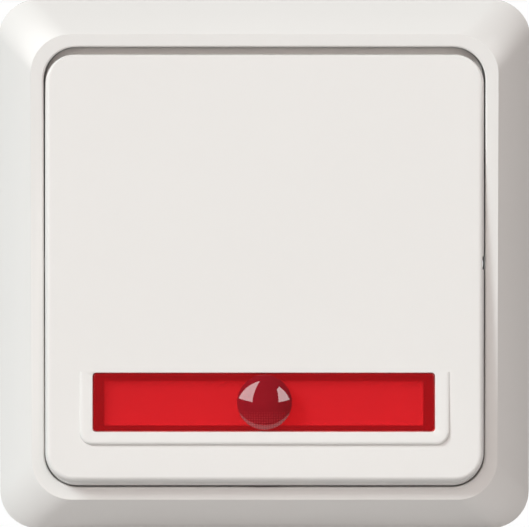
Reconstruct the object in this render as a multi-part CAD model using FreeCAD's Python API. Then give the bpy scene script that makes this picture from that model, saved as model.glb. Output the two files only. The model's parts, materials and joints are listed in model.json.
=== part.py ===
# Flush-mounted pull cord switch with a rocker plate, a red label window and a signal lens.
# Millimetres. X points right, Z points up, the room is towards -Y and the wall surface is y = 0.
# The origin is the middle of the two box screws, on the rear face of the support ring.
# The rocker is built square to the wall and then tilted to its rest position.

import FreeCAD, Part
import math
import os

Vector = FreeCAD.Vector

# Every piece
overrun = 1.0  # how far a cutting shape passes beyond what it cuts
sink = 0.1  # how deep a shape reaches into the one it joins
static_play = 0.02  # radial, around rivets, screws and fixed pins
running_play = 0.04  # radial, around pins that something turns on
same_place = 1e-6

# Support ring, which reaches just past the slots for the two box screws
box_screw_spacing = 60.0
box_slot_length = 7.0
box_slot_width = 3.6
ring_margin = 2.0  # metal beyond a slot's end
ring_corner = 9.0
ring_thickness = 1.0
ring_play = 0.3  # around the socket's front
ear_height = 2.2
ear_thickness = 1.0
ear_frame = 0.6  # metal around an ear's window
ear_gap = 0.2  # from an ear to the hook's arm beside it
rivet_radius = 0.78
rivet_x = 19.6
rivet_z = 12.5
rivet_head_radius = 1.4
rivet_head_height = 0.7
rivet_depth = 2.0
rivet_hole_spare = 0.2  # empty depth behind a rivet

# Cover frame, 81 mm square over a 71 mm ring
frame_overhang = 5.0  # how far it reaches past the ring on each side
frame_corner = 5.8
frame_rim_height = 2.8  # straight outer wall, off the wall
frame_height = 8.2  # crest, off the wall
frame_crest_inset = 5.05
frame_crest_corner = 6.0
frame_bulge = 0.15  # how far the sloped border swells out of straight
frame_wall = 2.0
slope_steps = 4
crest_land = 1.6  # flat strip between the slope and the opening's rounding
opening_corner = 5.0
lip_roll = 0.35  # rounding from the crest into the opening
lip_wall = 1.5
lip_rear = 5.0  # rear edge of the lip, off the wall
roll_steps = 4
hook_width = 4.4
hook_spread = 28.0  # between the hooks of one side
hook_arm = 1.1
hook_reach = 0.85
hook_height = 0.8
hook_play = 0.3

# Rocker plate, square to the wall
tilt_at_rest = 3.5
travel = 7.0
axis_y = -4.5
face_y = -9.9
side_gap = 0.2
top_gap = 0.25
bottom_gap = 0.2
face_inset_top = 0.95  # how far the front edge lies inside the base edge
face_inset_bottom = 0.8
face_corner = 4.3
base_corner = 4.8
plate_skin = 2.9
flare_depth = 3.9
skirt_depth = 5.4
skirt_wall = 1.5
skirt_wall_top = 1.8
edge_round = 0.7
prise_notch = 2.0
prise_notch_depth = 0.25
prise_notch_z = 0.5

# Raised pad, label window and lens on the rocker plate
pad_width = 56.15
pad_top = -15.6
pad_bottom = -27.1
pad_rise = 0.6
pad_corner = 2.0
window_width = 51.9
window_shift = -0.1
window_height = 8.9
window_z = -20.6
window_corner = 0.5
hood_play = 0.06
hood_recess = 0.1
hood_pane = 2.4
hood_side_wall = 1.6
hood_top_wall = 1.2
hood_bottom_wall = 0.7
hood_flange = 0.9
hood_flange_thickness = 0.8
hood_flange_corner = 1.0
label_thickness = 0.25
label_hole_play = 0.2  # around the lens's stem
tray_play = 0.1
tray_recess = 0.1  # behind the hood's rear face
lens_radius = 4.15
lens_rise = 1.6
lens_stem_radius = 3.1
lens_stem_play = 0.05

# Cradle that carries the rocker plate
cradle_half_width = 14.4
cradle_top = 12.6
cradle_bottom = -13.0
cradle_thickness = 1.4
cradle_hub_radius = 2.2
cradle_hub_width = 2.2
cradle_window_half_width = 7.4
cradle_window_top = 8.4
cradle_window_bottom = -6.6
nose_radius = 0.6
nose_z = 11.0
clip_width = 4.0
clip_z = 8.0
clip_wall = 1.2
clip_barb = 0.7
clip_barb_height = 0.6
clip_play = 0.1
axle_radius = 1.0

# Socket insert
raised_half_width = 18.0
raised_top = 18.5
raised_bottom = -23.2
raised_circle = 26.0
raised_height = 2.0  # in front of the ring's rear face
socket_half_width = 21.0
socket_top = 21.5
socket_bottom = -25.0
socket_circle = 27.5
socket_wall = 1.5
socket_split = 8.0
socket_depth = 28.0
claw_bay_half_width = 17.5
claw_bay_half_height = 7.5
tower_width = 2.4
tower_gap = 0.6  # between the cradle and a tower
tower_radius = 1.7
screw_boss_radius = 2.4
screw_boss_x = 13.3
screw_boss_top = 14.5
screw_boss_bottom = -17.6
screw_radius = 1.2
screw_head_radius = 2.0
screw_head_height = 1.3
screw_head_play = 0.1
screw_tip = 3.0
screw_hole_spare = 0.5  # empty depth behind a screw's tip
driver_slot_width = 0.7
driver_slot_depth = 0.7

# Plunger and switch contacts
plunger_z = -10.0
plunger_radius = 1.5
plunger_play = 0.05
plunger_gap = 0.3
plunger_head_radius = 2.6
plunger_head_height = 0.8
guide_radius = 3.0
guide_end = 4.0
spring_seat_depth = 1.2
spring_radius = 2.15
spring_wire = 0.25
spring_turns = 5
blade_y = 7.5
blade_thickness = 0.5
blade_half_width = 3.0
blade_pivot_z = 10.0
blade_tip_z = -16.0
blade_curl_radius = 1.25
blade_pin_radius = 0.8
contact_z = -14.0
contact_radius = 1.4
contact_height = 0.9
contact_shank = 0.8
contact_upset = 0.3  # riveted end behind a contact
contact_gap = 1.7  # between the two contacts when the switch is open
bar_thickness = 0.8
bar_half_width = 4.2
bar_bottom = -9.0
bar_ear_half_height = 2.0
bar_ear_reach = 1.2  # in front of the blade
bar_gap = 0.6  # between the two bars
contact_spring_z = -4.5
contact_spring_radius = 1.4
contact_spring_wire = 0.2
contact_spring_turns = 5
fixed_contact_radius = 1.5
fixed_contact_height = 0.6
fixed_bar_half_height = 3.0
fixed_bar_reach = 9.0
fixed_foot_top = -4.0
fixed_foot_bottom = -8.5

# Terminal blocks
block_front = 13.8
block_inner = 0.4
block_outer = 15.6
block_half_height = 8.6
block_shoulder = 0.5
block_play = 0.1
port_radius = 1.7
port_depth = 9.0
port_inner_x = 4.4
port_spacing = 6.8
port_z = -3.6
chamber_width = 4.4
chamber_wall = 1.2
key_z = 4.3
key_height = 3.0
key_width = 9.6
key_play = 0.2
key_stand = 1.6
key_travel = 1.5
key_spare = 0.4  # empty depth in front of a pressed key
key_length = 7.8
key_groove_length = 4.8
key_groove_width = 1.0
key_groove_depth = 0.6
clamp_thickness = 0.4
clamp_width = 3.6
clamp_roof_gap = 0.6
clamp_rear_gap = 0.2
leaf_reach = 1.0  # from the leaf's tip to the clamp's back, and above the port's middle

# Signal lamp
lamp_z = -19.8
lamp_holder_half_width = 3.0
lamp_holder_half_height = 1.8
lamp_flange = 0.7
lamp_flange_height = 0.9
lamp_holder_play = 0.05
lamp_holder_depth = 3.0
lamp_radius = 1.3
lamp_length = 1.9
board_thickness = 0.8
board_half_width = 1.9
board_end = 6.4
lamp_contact_x = 0.5
lamp_contact_end = 13.0
lamp_contact_width = 0.8
lamp_contact_thickness = 0.4
lamp_finger_inset = 1.0  # from the board's rear edge

# Pull slider and the cord's way out
pull_travel = 4.5
slider_leg_inner = 8.2
slider_leg_outer = 10.6
slider_thickness = 1.2
slider_play = 0.1
slider_bottom = -26.4
slider_bridge = 2.9
wedge_low = 9.2
wedge_high = 16.2
wedge_gap = 0.2
cord_eye_radius = 0.9
keeper_width = 1.3
keeper_lip = 0.7
keeper_thickness = 0.7
keeper_length = 2.2
keeper_axle_gap = 0.2
keeper_cradle_gap = 1.5
cord_bore_radius = 0.9
cord_bore_y = -1.4
bush_half_width = 2.15
bush_height = 2.7
bush_play = 0.05
bush_flange = 1.0
bush_flange_thickness = 0.8
bush_flange_step = 0.5  # the flange stays behind the frame's inner slope
bush_wing_step = 0.8  # so does the part of it beside the notch
cord_notch_depth = 2.0

# Claws that spread in the wall box
claw_screw_x = 22.8
claw_screw_radius = 1.45
claw_screw_end = 22.0
claw_head_radius = 2.5
claw_head_height = 2.1
claw_hole_play = 0.25
claw_spread = 2.5
claw_lift = 4.0
claw_half_height = 5.2
claw_thickness = 1.0
claw_web_x = 25.6
claw_front = 5.0
claw_foot_y = 17.0
claw_slot_play = 0.15
claw_bay_play = 0.2
claw_shoulder = 3.0
claw_foot_rim = 0.8  # metal inside the screw's slot
claw_teeth = 5
claw_tooth = 1.0
claw_tooth_length = 1.6
claw_tooth_gap = 0.3
nut_size = 5.0
nut_height = 2.4
nut_play = 0.1
nut_ear = 1.0
ramp_gap = 0.2
ramp_rib = 1.5
ramp_front = 0.4

# Sizes that follow from the ones above
ring_half = box_screw_spacing / 2 + box_slot_length / 2 + ring_margin
ring_front = -ring_thickness
frame_half = ring_half + frame_overhang
frame_inner_half = frame_half - frame_wall
opening_half = frame_half - frame_crest_inset - crest_land - lip_roll
lip_half = opening_half + lip_wall
hook_inner = lip_half - hook_arm
ear_window_front = ring_front - ear_height + ear_frame
plate_half = opening_half - side_gap
base_top = opening_half - top_gap
base_bottom = -opening_half + bottom_gap
face_top = base_top - face_inset_top
face_bottom = base_bottom + face_inset_bottom
skin_y = face_y + plate_skin
skirt_y = face_y + skirt_depth
cradle_rear = skin_y + cradle_thickness
pad_angle = math.degrees(math.atan(pad_rise / (pad_top - pad_bottom)))
raised_front = -raised_height
cavity_half_width = claw_bay_half_width - socket_wall
cavity_top = raised_top - socket_wall
cavity_bottom = raised_bottom + socket_wall
cavity_circle = raised_circle - socket_wall
cavity_front = raised_front + socket_wall
rear_wall = socket_depth - socket_wall
tower_x = cradle_half_width + tower_gap
keeper_high = axle_radius + keeper_axle_gap
keeper_low = cradle_bottom - keeper_cradle_gap - keeper_length
axle_half_length = tower_x + tower_width
blade_rear = blade_y + blade_thickness
blade_axis_y = blade_y + blade_thickness / 2
bar_front = block_front - bar_thickness
fixed_contact_front = blade_rear + contact_height + contact_gap
fixed_bar_front = fixed_contact_front + fixed_contact_height
fixed_bar_rear = fixed_bar_front + bar_thickness
lamp_front = raised_front - lamp_flange_height
lamp_rear = lamp_front + lamp_length
slider_rear = raised_front - slider_play
slider_front = slider_rear - slider_thickness
pane_rear = hood_recess + hood_pane
port_x = (port_inner_x, port_inner_x + port_spacing)
key_middle = sum(port_x) / 2
key_rear = socket_depth + key_stand
key_front = key_rear - key_length
chamber_bottom = -block_half_height + 2 * chamber_wall


# Basic shapes. Each takes its limits along X, Y and Z.
def box(x0, x1, y0, y1, z0, z1):
    return Part.makeBox(x1 - x0, y1 - y0, z1 - z0, Vector(x0, y0, z0))


def rod_x(radius, x0, x1, y, z):
    return Part.makeCylinder(radius, x1 - x0, Vector(x0, y, z), Vector(1, 0, 0))


def rod_y(radius, y0, y1, x, z):
    return Part.makeCylinder(radius, y1 - y0, Vector(x, y0, z), Vector(0, 1, 0))


def rod_z(radius, z0, z1, x, y):
    return Part.makeCylinder(radius, z1 - z0, Vector(x, y, z0), Vector(0, 0, 1))


def rounded_outline(x0, x1, z0, z1, radius, y):
    """A rectangle with round corners, in the plane at y."""
    bend = radius * (1 - math.sqrt(0.5))
    corners = (
        ((x1 - radius, z0), (x1 - bend, z0 + bend), (x1, z0 + radius)),
        ((x1, z1 - radius), (x1 - bend, z1 - bend), (x1 - radius, z1)),
        ((x0 + radius, z1), (x0 + bend, z1 - bend), (x0, z1 - radius)),
        ((x0, z0 + radius), (x0 + bend, z0 + bend), (x0 + radius, z0)),
    )
    edges = []
    for i, corner in enumerate(corners):
        start, middle, end = [Vector(x, y, z) for x, z in corner]
        following = corners[(i + 1) % 4][0]
        edges.append(Part.Arc(start, middle, end).toShape())
        edges.append(Part.makeLine(end, Vector(following[0], y, following[1])))
    return Part.Wire(edges)


def slab(x0, x1, z0, z1, radius, y0, y1):
    """A plate with round corners, from y0 to y1."""
    face = Part.Face(rounded_outline(x0, x1, z0, z1, radius, y0))
    return face.extrude(Vector(0, y1 - y0, 0))


def square_loft(stations):
    """A solid through squares given as half size, corner radius and y."""
    outlines = [rounded_outline(-h, h, -h, h, r, y) for h, r, y in stations]
    return Part.makeLoft(outlines, True, True)


def prism_x(points, x0, x1):
    """A closed outline of (y, z) points, from x0 to x1."""
    corners = [Vector(x0, y, z) for y, z in points]
    return Part.Face(Part.makePolygon(corners + corners[:1])).extrude(Vector(x1 - x0, 0, 0))


def prism_z(points, z0, z1):
    """A closed outline of (x, y) points, from z0 to z1."""
    corners = [Vector(x, y, z0) for x, y in points]
    return Part.Face(Part.makePolygon(corners + corners[:1])).extrude(Vector(0, 0, z1 - z0))


def join(*shapes):
    return shapes[0].fuse(list(shapes[1:])).removeSplitter()


def cut(shape, *tools):
    return shape.cut(list(tools))


def across(shape):
    """The same shape on the other side of the middle."""
    return shape.mirror(Vector(0, 0, 0), Vector(1, 0, 0))


def both(shape):
    return [shape, across(shape)]


def group(shapes):
    return Part.makeCompound(shapes)


def tilted(shape):
    """Turns a piece of the rocker from square to the wall to its rest position."""
    turned = shape.copy()
    turned.rotate(Vector(0, axis_y, 0), Vector(1, 0, 0), -tilt_at_rest)
    return turned


def at_rest(y, z):
    """Where the rest position puts a point of the rocker that is built at (y, z)."""
    angle = math.radians(-tilt_at_rest)
    back = y - axis_y
    return (
        axis_y + back * math.cos(angle) - z * math.sin(angle),
        back * math.sin(angle) + z * math.cos(angle),
    )


def helix_spring(radius, wire, turns, y0, y1, x, z):
    """A coil spring along Y between two planes."""
    pitch = (y1 - y0 - 2 * wire) / turns
    path = Part.makeHelix(pitch, pitch * turns, radius)
    section = Part.Wire(Part.makeCircle(wire, Vector(radius, 0, 0), Vector(0, 1, 0)))
    coil = Part.Wire(path).makePipeShell([section], True, True)
    coil.rotate(Vector(0, 0, 0), Vector(1, 0, 0), -90)
    coil.translate(Vector(x, y0 + wire, z))
    return coil


def slotted_head(radius, y0, y1, x, z, slot_y):
    """A round screw head with a driver slot in its face at slot_y."""
    head = rod_y(radius, y0, y1, x, z)
    inward = driver_slot_depth if slot_y == y0 else -driver_slot_depth
    low, high = sorted((slot_y, slot_y + inward))
    half = driver_slot_width / 2
    return cut(head, box(x - radius, x + radius, low, high, z - half, z + half))


def frame_slope(share):
    """Half size, corner radius and y on the border, from the rim at 0 to the crest at 1."""
    run, rise = frame_crest_inset, frame_height - frame_rim_height
    length = math.hypot(run, rise)
    swell = 4 * frame_bulge * share * (1 - share)
    half = frame_half - run * share + swell * rise / length
    y = -(frame_rim_height + rise * share + swell * run / length)
    return half, frame_corner + (frame_crest_corner - frame_corner) * share, y


def rolled_opening():
    """The hole for the rocker, which widens in a quarter round towards the crest."""
    stations = [(opening_half, opening_corner, overrun)]
    for i in range(roll_steps + 1):
        angle = math.pi / 2 * i / roll_steps
        widening = lip_roll * (1 - math.cos(angle))
        y = -frame_height + lip_roll * (1 - math.sin(angle))
        stations.append((opening_half + widening, opening_corner + widening, y))
    stations.append((opening_half + lip_roll, opening_corner + lip_roll, -frame_height - overrun))
    return square_loft(stations)


def frame_hollow():
    """The space behind the border, which leaves the slope the same wall as the rim."""
    run, rise = frame_crest_inset, frame_height - frame_rim_height
    length = math.hypot(run, rise)
    wall_x, wall_y = frame_wall * length / rise, frame_wall * length / run
    corner = frame_corner - frame_wall
    shoulder = frame_rim_height + frame_wall * rise / run - wall_y
    roof = frame_height - frame_wall
    roof_half = frame_half - (roof - frame_rim_height) * run / rise - wall_x
    return square_loft([
        (frame_inner_half, corner, overrun),
        (frame_inner_half, corner, -shoulder),
        (roof_half, frame_crest_corner - wall_x, -roof),
    ])


def make_cover_frame():
    slope = [frame_slope(i / slope_steps) for i in range(slope_steps + 1)]
    body = cut(square_loft([(frame_half, frame_corner, 0)] + slope), rolled_opening())
    lip = slab(
        -lip_half, lip_half, -lip_half, lip_half, opening_corner + lip_wall, -frame_height, -lip_rear,
    )
    body = cut(body, cut(frame_hollow(), lip))
    barb_front = ear_window_front + hook_play
    barb_rear = barb_front + hook_height
    hooks = []
    for z in (-hook_spread / 2, hook_spread / 2):
        low, high = z - hook_width / 2, z + hook_width / 2
        hooks += both(box(hook_inner, lip_half, -lip_rear - sink, barb_rear, low, high))
        hooks += both(box(hook_inner - hook_reach, hook_inner + sink, barb_front, barb_rear, low, high))
    notch_half = bush_half_width + bush_play
    notch = box(
        -notch_half, notch_half, -bush_height - bush_play, overrun,
        -frame_half - overrun, -frame_inner_half + overrun,
    )
    return cut(join(body, *hooks), notch)


def make_cord_outlet_bush():
    rear = -bush_play
    body = box(
        -bush_half_width, bush_half_width, -bush_height, rear, -frame_half, -frame_inner_half,
    )
    top = -frame_inner_half + bush_flange_thickness
    flange = box(
        -bush_half_width, bush_half_width, -bush_height + bush_flange_step, rear,
        -frame_inner_half, top,
    )
    wide = bush_half_width + bush_flange
    wings = box(-wide, wide, -bush_height + bush_wing_step, rear, -frame_inner_half, top)
    bore = rod_z(
        cord_bore_radius, -frame_half - overrun, top + overrun, 0, cord_bore_y,
    )
    return cut(join(body, flange, wings), bore)


def raised_outline_solid(grow, y0, y1):
    block = box(
        -raised_half_width - grow, raised_half_width + grow, y0, y1,
        raised_bottom - grow, raised_top + grow,
    )
    return block.common(rod_y(raised_circle + grow, y0, y1, 0, 0))


def make_support_ring():
    ring = slab(-ring_half, ring_half, -ring_half, ring_half, ring_corner, ring_front, 0)
    ear_outer = hook_inner - ear_gap
    ear_inner = ear_outer - ear_thickness
    ears, gaps = [], []
    for z in (-hook_spread / 2, hook_spread / 2):
        wide = hook_width / 2 + hook_play
        ears += both(box(
            ear_inner, ear_outer, ring_front - ear_height, ring_front + sink,
            z - wide - ear_frame, z + wide + ear_frame,
        ))
        gaps += both(box(
            ear_inner - sink, ear_outer + sink, ear_window_front, ring_front, z - wide, z + wide,
        ))
    front, rear = ring_front - overrun, overrun
    slots = []
    for side in (-1, 1):
        middle = side * box_screw_spacing / 2
        reach = (box_slot_length - box_slot_width) / 2
        radius = box_slot_width / 2
        slots += [
            box(middle - reach, middle + reach, front, rear, -radius, radius),
            rod_y(radius, front, rear, middle - reach, 0),
            rod_y(radius, front, rear, middle + reach, 0),
        ]
    holes = both(rod_y(claw_screw_radius + claw_hole_play, front, rear, claw_screw_x, 0))
    holes += [rod_y(rivet_radius + static_play, front, rear, x, z) for x, z in rivet_places()]
    ring = cut(ring, raised_outline_solid(ring_play, front, rear))
    return cut(join(ring, *ears), *gaps, *slots, *holes)


def rivet_places():
    return [(x, z) for x in (-rivet_x, rivet_x) for z in (-rivet_z, rivet_z)]


def make_ring_rivets():
    rivets = []
    for x, z in rivet_places():
        head = rod_y(rivet_head_radius, ring_front - rivet_head_height, ring_front, x, z)
        rivets.append(join(head, rod_y(rivet_radius, ring_front, rivet_depth, x, z)))
    return group(rivets)


def pad_front(z):
    """How far out the pad's face is at a height, square to the wall."""
    return face_y - pad_rise * (pad_top - z) / (pad_top - pad_bottom)


def pad_slice(x0, x1, z0, z1, depth, rear=None, rear_depth=None):
    """A block whose front lies at a depth behind the pad's face, and whose rear is flat or follows it."""
    back = [rear, rear] if rear is not None else [pad_front(z) + rear_depth for z in (z1, z0)]
    points = [
        (pad_front(z0) + depth, z0), (pad_front(z1) + depth, z1), (back[0], z1), (back[1], z0),
    ]
    return prism_x(points, x0, x1)


def window_limits(grow):
    half = window_width / 2
    return (
        window_shift - half - grow, window_shift + half + grow,
        window_z - window_height / 2 - grow, window_z + window_height / 2 + grow,
    )


def make_rocker_plate():
    stations = (
        (base_bottom, base_top, base_corner, skirt_y),
        (base_bottom, base_top, base_corner, face_y + flare_depth),
        (face_bottom, face_top, face_corner, face_y),
    )
    body = Part.makeLoft(
        [rounded_outline(-plate_half, plate_half, low, high, r, y) for low, high, r, y in stations],
        True, True,
    )
    front_edges = [
        edge for edge in body.Edges if all(abs(v.Y - face_y) < same_place for v in edge.Vertexes)
    ]
    body = body.makeFillet(edge_round, front_edges)
    inner = plate_half - skirt_wall
    pocket = slab(
        -inner, inner, base_bottom + skirt_wall, base_top - skirt_wall_top,
        base_corner - skirt_wall, skin_y, skirt_y + overrun,
    )
    half = pad_width / 2
    front = face_y - pad_rise - overrun
    pad = pad_slice(-half, half, pad_bottom, pad_top, 0, rear=face_y + sink)
    pad = pad.common(
        slab(-half, half, pad_bottom, pad_top + pad_corner, pad_corner, front, face_y + sink)
    )
    x0, x1, z0, z1 = window_limits(0)
    window = slab(x0, x1, z0, z1, window_corner, front, skin_y + overrun)
    clips = []
    for z in (-clip_z, clip_z):
        low, high = z - clip_width / 2, z + clip_width / 2
        x = cradle_half_width + clip_play
        rear = cradle_rear + clip_play + clip_barb_height
        clips += both(box(x, x + clip_wall, skin_y - sink, rear, low, high))
        clips += both(box(x - clip_barb, x + sink, rear - clip_barb_height, rear, low, high))
    cord_notch = box(
        -bush_half_width, bush_half_width, skirt_y - cord_notch_depth, skirt_y + overrun,
        base_bottom - overrun, base_bottom + skirt_wall + overrun,
    )
    prise = box(
        plate_half - prise_notch_depth, plate_half + overrun, face_y, skirt_y + overrun,
        prise_notch_z - prise_notch / 2, prise_notch_z + prise_notch / 2,
    )
    body = join(cut(body, pocket), pad, *clips)
    return tilted(cut(body, window, cord_notch, prise))


def make_window_hood():
    x0, x1, z0, z1 = window_limits(-hood_play)
    front = pad_slice(x0, x1, z0, z1, hood_recess, rear=skin_y + sink)
    front = front.common(
        slab(x0, x1, z0, z1, window_corner, face_y - pad_rise - overrun, skin_y + sink)
    )
    rear = skin_y + hood_flange_thickness
    flange = slab(*window_limits(hood_flange), hood_flange_corner, skin_y, rear)
    hollow = pad_slice(
        x0 + hood_side_wall, x1 - hood_side_wall, z0 + hood_bottom_wall, z1 - hood_top_wall,
        pane_rear, rear=rear + overrun,
    )
    return tilted(cut(join(front, flange), hollow, lens_stem(lens_stem_play, overrun)))


def lens_frame(shape):
    """Sets a lens shape, built about Y at the origin, square onto the pad's face."""
    placed = shape.copy()
    placed.rotate(Vector(0, 0, 0), Vector(1, 0, 0), -pad_angle)
    placed.translate(Vector(0, pad_front(window_z) + hood_recess, window_z))
    return placed


def lens_stem(grow, over):
    length = skin_y + hood_flange_thickness - pad_front(window_z) - hood_recess
    return lens_frame(rod_y(lens_stem_radius + grow, -over, length + over, 0, 0))


def make_signal_lens():
    ball = (lens_radius**2 + lens_rise**2) / (2 * lens_rise)
    dome = Part.makeSphere(ball, Vector(0, ball - lens_rise, 0))
    dome = dome.common(rod_y(lens_radius + overrun, -lens_rise - overrun, 0, 0, 0))
    return tilted(join(lens_frame(dome), lens_stem(0, 0)))


def tray_limits():
    x0, x1, z0, z1 = window_limits(-hood_play - tray_play)
    return (
        x0 + hood_side_wall, x1 - hood_side_wall, z0 + hood_bottom_wall, z1 - hood_top_wall,
    )


def make_label_strip():
    strip = pad_slice(*tray_limits(), pane_rear, rear_depth=pane_rear + label_thickness)
    return tilted(cut(strip, lens_stem(label_hole_play, overrun)))


def make_label_tray():
    rear = skin_y + hood_flange_thickness - tray_recess
    tray = pad_slice(*tray_limits(), pane_rear + label_thickness, rear=rear)
    return tilted(cut(tray, lens_stem(label_hole_play, overrun)))


def make_rocker_cradle():
    wide = cradle_half_width
    plate = box(-wide, wide, skin_y, cradle_rear, cradle_bottom, cradle_top)
    window = box(
        -cradle_window_half_width, cradle_window_half_width, skin_y - overrun, cradle_rear + overrun,
        cradle_window_bottom, cradle_window_top,
    )
    hubs = both(rod_x(cradle_hub_radius, wide - cradle_hub_width, wide, axis_y, 0))
    noses = both(rod_x(nose_radius, slider_leg_inner, slider_leg_outer, cradle_rear, nose_z))
    bore = rod_x(axle_radius + running_play, -wide - overrun, wide + overrun, axis_y, 0)
    return tilted(cut(join(cut(plate, window), *hubs, *noses), bore))


def make_pivot_axle():
    return rod_x(axle_radius, -axle_half_length, axle_half_length, axis_y, 0)


def socket_outline(y0, y1):
    block = box(-socket_half_width, socket_half_width, y0, y1, socket_bottom, socket_top)
    bays = both(box(
        claw_bay_half_width, socket_half_width + overrun, y0 - overrun, y1 + overrun,
        -claw_bay_half_height, claw_bay_half_height,
    ))
    return cut(block.common(rod_y(socket_circle, y0, y1, 0, 0)), *bays)


def socket_cavity(y0, y1):
    block = box(-cavity_half_width, cavity_half_width, y0, y1, cavity_bottom, cavity_top)
    return block.common(rod_y(cavity_circle, y0, y1, 0, 0))


def screw_places():
    return [
        (x, z) for x in (-screw_boss_x, screw_boss_x) for z in (screw_boss_bottom, screw_boss_top)
    ]


def claw_ramps():
    """Ribs in the claw bays that push a claw outwards as it is drawn forwards."""
    front = claw_web_x - ramp_gap + claw_spread
    inner = claw_bay_half_width - sink
    points = [
        (inner, ramp_front), (front, ramp_front), (front, claw_front - claw_lift),
        (front - claw_spread, claw_front), (inner, claw_front),
    ]
    low = claw_bay_half_height - ramp_rib
    ribs = [prism_z(points, low, claw_bay_half_height), prism_z(points, -claw_bay_half_height, -low)]
    return ribs + [across(rib) for rib in ribs]


def make_socket_cover():
    body = join(raised_outline_solid(0, raised_front, sink), socket_outline(0, socket_split))
    body = cut(body, socket_cavity(cavity_front, socket_split + overrun))
    guide = rod_y(guide_radius, cavity_front - sink, guide_end, 0, plunger_z)
    posts = [
        rod_y(screw_boss_radius, cavity_front - sink, socket_split, x, z) for x, z in screw_places()
    ]
    towers = []
    for x in (-tower_x - tower_width, tower_x):
        towers += [
            box(x, x + tower_width, axis_y, raised_front + sink, -tower_radius, tower_radius),
            rod_x(tower_radius, x, x + tower_width, axis_y, 0),
        ]
    keepers = []
    inner = slider_leg_outer + slider_play
    rear = slider_front - slider_play
    front = rear - keeper_thickness
    for z in (keeper_low, keeper_high):
        top = z + keeper_length
        keepers += both(box(inner, inner + keeper_width, front, raised_front + sink, z, top))
        keepers += both(box(inner - keeper_lip, inner + sink, front, rear, z, top))
    body = join(body, guide, *posts, *towers, *keepers, *claw_ramps())
    front = raised_front - overrun
    holes = [
        rod_y(guide_radius, front, raised_front + spring_seat_depth, 0, plunger_z),
        rod_y(plunger_radius + plunger_play, front, guide_end + overrun, 0, plunger_z),
        rod_x(
            axle_radius + static_play, -axle_half_length - overrun, axle_half_length + overrun,
            axis_y, 0,
        ),
    ]
    half_width = lamp_holder_half_width + lamp_holder_play
    half_height = lamp_holder_half_height + lamp_holder_play
    holes.append(box(
        -half_width, half_width, front, cavity_front + overrun,
        lamp_z - half_height, lamp_z + half_height,
    ))
    for x, z in screw_places():
        radius = screw_radius + static_play
        holes.append(rod_y(radius, screw_tip - screw_hole_spare, socket_split + overrun, x, z))
    for x, z in rivet_places():
        radius = rivet_radius + static_play
        holes.append(rod_y(radius, -overrun, rivet_depth + rivet_hole_spare, x, z))
    return cut(body, *holes)


def make_socket_base():
    outline = socket_outline(socket_split, socket_depth)
    bosses = [
        rod_y(screw_boss_radius, socket_split, socket_depth, x, z) for x, z in screw_places()
    ]
    body = join(cut(outline, socket_cavity(socket_split - overrun, rear_wall)), *bosses)
    rear = socket_depth + overrun
    half_height = block_half_height - block_shoulder + block_play
    holes = both(box(
        block_inner + block_shoulder, block_outer - block_shoulder + block_play,
        rear_wall - overrun, rear, -half_height, half_height,
    ))
    for x, z in screw_places():
        holes.append(rod_y(screw_radius + static_play, socket_split - overrun, rear, x, z))
        holes.append(rod_y(screw_head_radius + screw_head_play, rear_wall, rear, x, z))
    return cut(body, *holes)


def make_housing_screws():
    screws = []
    for x, z in screw_places():
        top = rear_wall + screw_head_height
        head = slotted_head(screw_head_radius, rear_wall, top, x, z, top)
        screws.append(join(head, rod_y(screw_radius, screw_tip, rear_wall, x, z)))
    return group(screws)


def plunger_head_front():
    """The plunger's front at rest, clear of the cradle's rear face."""
    return at_rest(cradle_rear, plunger_z)[0] + plunger_gap


def make_plunger():
    front = plunger_head_front()
    head = rod_y(plunger_head_radius, front, front + plunger_head_height, 0, plunger_z)
    return join(head, rod_y(plunger_radius, front, blade_y - plunger_gap, 0, plunger_z))


def make_return_spring():
    return helix_spring(
        spring_radius, spring_wire, spring_turns,
        plunger_head_front() + plunger_head_height, raised_front + spring_seat_depth,
        0, plunger_z,
    )


def make_contact_blade():
    strip = box(
        -blade_half_width, blade_half_width, blade_y, blade_rear, blade_tip_z, blade_pivot_z,
    )
    curl = rod_x(
        blade_curl_radius, -blade_half_width, blade_half_width, blade_axis_y, blade_pivot_z,
    )
    bore = rod_x(
        blade_pin_radius + running_play, -blade_half_width - overrun, blade_half_width + overrun,
        blade_axis_y, blade_pivot_z,
    )
    rivet_hole = rod_y(
        contact_shank + static_play, blade_y - overrun, blade_rear + overrun, 0, contact_z,
    )
    return cut(join(strip, curl), bore, rivet_hole)


def make_moving_contact():
    head = rod_y(contact_radius, blade_rear, blade_rear + contact_height, 0, contact_z)
    return join(head, rod_y(contact_shank, blade_y - contact_upset, blade_rear, 0, contact_z))


def make_blade_pin():
    return rod_x(blade_pin_radius, -bar_half_width, bar_half_width, blade_axis_y, blade_pivot_z)


def make_common_bar():
    low, high = blade_pivot_z - bar_ear_half_height, blade_pivot_z + bar_ear_half_height
    plate = box(-bar_half_width, bar_half_width, bar_front, block_front, bar_bottom, high)
    ears = both(box(
        bar_half_width - bar_thickness, bar_half_width, blade_y - bar_ear_reach, block_front,
        low, high,
    ))
    bore = rod_x(
        blade_pin_radius + static_play, -bar_half_width - overrun, bar_half_width + overrun,
        blade_axis_y, blade_pivot_z,
    )
    return cut(join(plate, *ears), bore)


def make_contact_spring():
    return helix_spring(
        contact_spring_radius, contact_spring_wire, contact_spring_turns,
        blade_rear, bar_front, 0, contact_spring_z,
    )


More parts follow.
